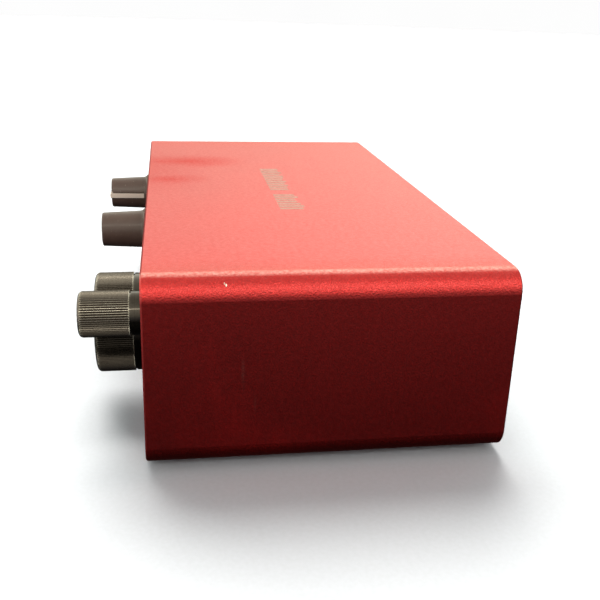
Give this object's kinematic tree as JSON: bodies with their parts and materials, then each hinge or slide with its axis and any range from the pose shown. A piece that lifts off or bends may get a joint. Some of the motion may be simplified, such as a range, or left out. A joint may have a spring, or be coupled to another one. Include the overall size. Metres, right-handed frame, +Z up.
{
  "type": "audio interface",
  "caption": "Compact desktop USB audio interface: rounded red metal sleeve, front controls with gain knobs, large volume knob, combo inputs and headphone jack, sockets at the back.",
  "frame": {"origin": "on the table, below the middle of the whole object with its knobs", "axes": "+X to the right of someone facing the controls, +Y from the front to the back, +Z up"},
  "size_m": [0.175, 0.0988, 0.0465],
  "materials": {
    "red_anodised": "bead-blasted aluminium anodised a warm red, satin with a fine sparkle",
    "fascia_black": "bead-blasted aluminium anodised black",
    "rear_black": "fine powder-coated sheet steel, black",
    "black_screw": "black oxide steel",
    "foot_rubber": "matt black silicone rubber",
    "soft_touch": "dark brown-grey soft-touch lacquer over plastic",
    "pointer_light": "moulded warm white plastic",
    "light_guide": "milky polycarbonate light guide",
    "knurled_metal": "turned and knurled aluminium, anodised gunmetal",
    "knob_core": "black moulded nylon",
    "black_plastic": "black moulded plastic with a fine grain",
    "switch_plastic": "light grey moulded plastic",
    "button_plastic": "dark grey moulded plastic",
    "lamp_red": "clear tinted light pipe",
    "lamp_green": "clear tinted light pipe",
    "nickel": "bright nickel plate",
    "contact_metal": "gold-plated spring bronze",
    "zinc_steel": "zinc-plated pressed steel",
    "shaft_metal": "turned aluminium",
    "spring_steel": "drawn spring wire",
    "board_mask": "glass-epoxy laminate with dark green solder mask",
    "chip_epoxy": "moulded black epoxy",
    "can_aluminium": "drawn aluminium cans on black bases",
    "ferrite": "grey ferrite"
  },
  "bodies": {
    "case": {"sleeve": "red_anodised", "front_panel": "fascia_black", "rear_panel": "rear_black", "front_screws": "black_screw", "rear_screws": "black_screw", "rubber_feet": "foot_rubber", "main_board": "board_mask", "control_board": "board_mask", "board_link": "black_plastic", "chips": "chip_epoxy", "capacitors": "can_aluminium", "power_coils": "ferrite", "combo_housing_1": "black_plastic", "combo_insert_1": "black_plastic", "combo_contacts_1": "contact_metal", "gain_pot_1": "zinc_steel", "gain_light_ring_1": "light_guide", "input_1_switch": "zinc_steel", "combo_housing_2": "black_plastic", "combo_insert_2": "black_plastic", "combo_contacts_2": "contact_metal", "gain_pot_2": "zinc_steel", "gain_light_ring_2": "light_guide", "input_2_switch": "zinc_steel", "monitor_pot": "zinc_steel", "phones_pot": "zinc_steel", "direct_monitor_switch": "zinc_steel", "phantom_switch": "black_plastic", "phantom_spring": "spring_steel", "phantom_light": "lamp_red", "usb_light": "lamp_green", "phones_jack_housing": "black_plastic", "phones_jack_ferrule": "nickel", "phones_jack_contacts": "contact_metal", "line_out_jack_left": "black_plastic", "line_out_jack_right": "black_plastic", "line_out_nuts": "nickel", "line_out_contacts": "contact_metal", "usb_shell": "nickel", "usb_insulator": "switch_plastic", "usb_contacts": "contact_metal", "lock_plate": "zinc_steel"},
    "gain_1": {"gain_knob_1": "soft_touch", "gain_pointer_1": "pointer_light", "gain_shaft_1": "shaft_metal"},
    "gain_2": {"gain_knob_2": "soft_touch", "gain_pointer_2": "pointer_light", "gain_shaft_2": "shaft_metal"},
    "monitor": {"monitor_knob_cap": "knurled_metal", "monitor_knob_core": "knob_core", "monitor_knob_line": "pointer_light", "monitor_shaft": "shaft_metal"},
    "phones": {"phones_knob_cap": "knurled_metal", "phones_knob_core": "knob_core", "phones_knob_line": "pointer_light", "phones_shaft": "shaft_metal"},
    "input_1_slide": {"input_1_slider": "switch_plastic"},
    "input_2_slide": {"input_2_slider": "switch_plastic"},
    "direct_monitor_slide": {"direct_monitor_slider": "switch_plastic"},
    "phantom_key": {"phantom_button": "button_plastic"}
  },
  "joints": [
    {"name": "gain_1_turn", "type": "hinge", "parent": "case", "child": "gain_1", "pos_m": [-0.051, -0.0351, 0.0331], "axis": [0, 1, 0], "range_deg": [-240, 60]},
    {"name": "gain_2_turn", "type": "hinge", "parent": "case", "child": "gain_2", "pos_m": [-0.001, -0.0351, 0.0331], "axis": [0, 1, 0], "range_deg": [0, 300]},
    {"name": "monitor_turn", "type": "hinge", "parent": "case", "child": "monitor", "pos_m": [0.048, -0.0351, 0.0219], "axis": [0, 1, 0], "range_deg": [-243, 57]},
    {"name": "phones_turn", "type": "hinge", "parent": "case", "child": "phones", "pos_m": [0.072, -0.0351, 0.0334], "axis": [0, 1, 0], "range_deg": [-170, 130]},
    {"name": "input_1_select", "type": "slide", "parent": "case", "child": "input_1_slide", "axis": [0, 0, 1], "range_m": [0, 0.0024]},
    {"name": "input_2_select", "type": "slide", "parent": "case", "child": "input_2_slide", "axis": [0, 0, 1], "range_m": [0, 0.0024]},
    {"name": "direct_monitor_select", "type": "slide", "parent": "case", "child": "direct_monitor_slide", "axis": [0, 0, 1], "range_m": [0, 0.0024]},
    {"name": "phantom_press", "type": "slide", "parent": "case", "child": "phantom_key", "axis": [0, 1, 0], "range_m": [0, 0.0016], "stiffness_N_per_m": 400, "springref_m": -0.0006, "deforming": ["phantom_spring"]}
  ]
}
